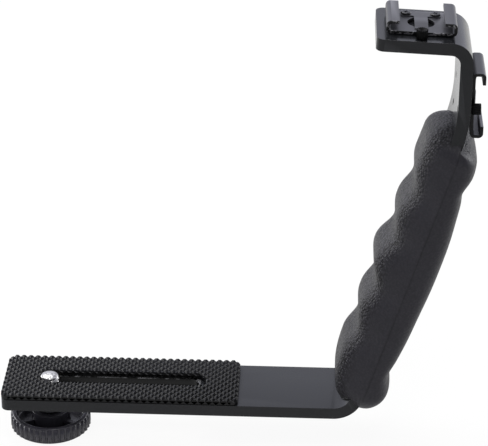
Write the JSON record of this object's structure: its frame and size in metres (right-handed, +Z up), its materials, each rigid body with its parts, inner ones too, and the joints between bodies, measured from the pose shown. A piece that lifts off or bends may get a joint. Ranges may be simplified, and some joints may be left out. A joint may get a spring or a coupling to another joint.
{
  "type": "camera flash bracket",
  "caption": "C-shaped flat-bar bracket with a padded camera seat, sliding thumb screw, moulded hand grip and accessory shoes on its upright and top arm.",
  "frame": {"origin": "on the underside of the base, on its centre line, between the pad and the grip", "axes": "+X along the base from the camera seat to the grip, +Z up from the base, +Y across the bar, away from the shoes' stop screws"},
  "size_m": [0.1547, 0.0342, 0.1533],
  "materials": {
    "black_enamel": "black semi-gloss enamel on steel",
    "pad_rubber": "knurled black rubber",
    "grip_rubber": "pebbled black rubber",
    "knob_plastic": "moulded black plastic",
    "bright_steel": "bright plated steel",
    "nylon": "natural nylon",
    "shoe_enamel": "dark grey enamel on bent steel sheet",
    "black_steel": "blackened steel"
  },
  "bodies": {
    "bracket": {"bracket_bar": "black_enamel", "base_pad": "pad_rubber", "hand_grip": "grip_rubber", "top_shoe": "shoe_enamel", "top_spring": "shoe_enamel", "top_fixing_screw_1": "black_steel", "top_fixing_screw_2": "black_steel", "side_shoe": "shoe_enamel", "side_spring": "shoe_enamel", "side_fixing_screw_1": "black_steel", "side_fixing_screw_2": "black_steel"},
    "runner": {"slot_runner": "nylon"},
    "screw_lift": {"screw_washer": "bright_steel"},
    "thumb_screw": {"camera_knob": "knob_plastic", "camera_screw": "bright_steel"},
    "top_stop_rise": {"top_stop_stud": "bright_steel"},
    "top_stop_turn": {"top_stop_knob": "black_steel"},
    "side_stop_rise": {"side_stop_stud": "bright_steel"},
    "side_stop_turn": {"side_stop_knob": "black_steel"}
  },
  "joints": [
    {"name": "camera_screw_slide", "type": "slide", "parent": "bracket", "child": "runner", "axis": [1, 0, 0], "range_m": [0, 0.047]},
    {"name": "camera_screw_lift", "type": "slide", "parent": "runner", "child": "screw_lift", "axis": [0, 0, 1], "range_m": [0, 0.0051]},
    {"name": "camera_screw_turn", "type": "hinge", "parent": "screw_lift", "child": "thumb_screw", "pos_m": [-0.0795, 0, 0], "axis": [0, 0, 1], "continuous": true},
    {"name": "top_stop_rise", "type": "slide", "parent": "bracket", "child": "top_stop_rise", "axis": [0.0436, 0, 0.999], "range_m": [0, 0.0009]},
    {"name": "top_stop_turn", "type": "hinge", "parent": "top_stop_rise", "child": "top_stop_turn", "pos_m": [0.03974, -0.01075, 0.13555], "axis": [0.0436, 0, 0.999], "range_deg": [0, 720]},
    {"name": "side_stop_rise", "type": "slide", "parent": "bracket", "child": "side_stop_rise", "axis": [1, 0, 0], "range_m": [0, 0.0009]},
    {"name": "side_stop_turn", "type": "hinge", "parent": "side_stop_rise", "child": "side_stop_turn", "pos_m": [0.05611, -0.01075, 0.11225], "axis": [1, 0, 0], "range_deg": [0, 720]}
  ],
  "couplings": [
    {"joint": "top_stop_turn", "follows": "top_stop_rise", "rad_per_m": 13963},
    {"joint": "side_stop_turn", "follows": "side_stop_rise", "rad_per_m": 13963}
  ]
}
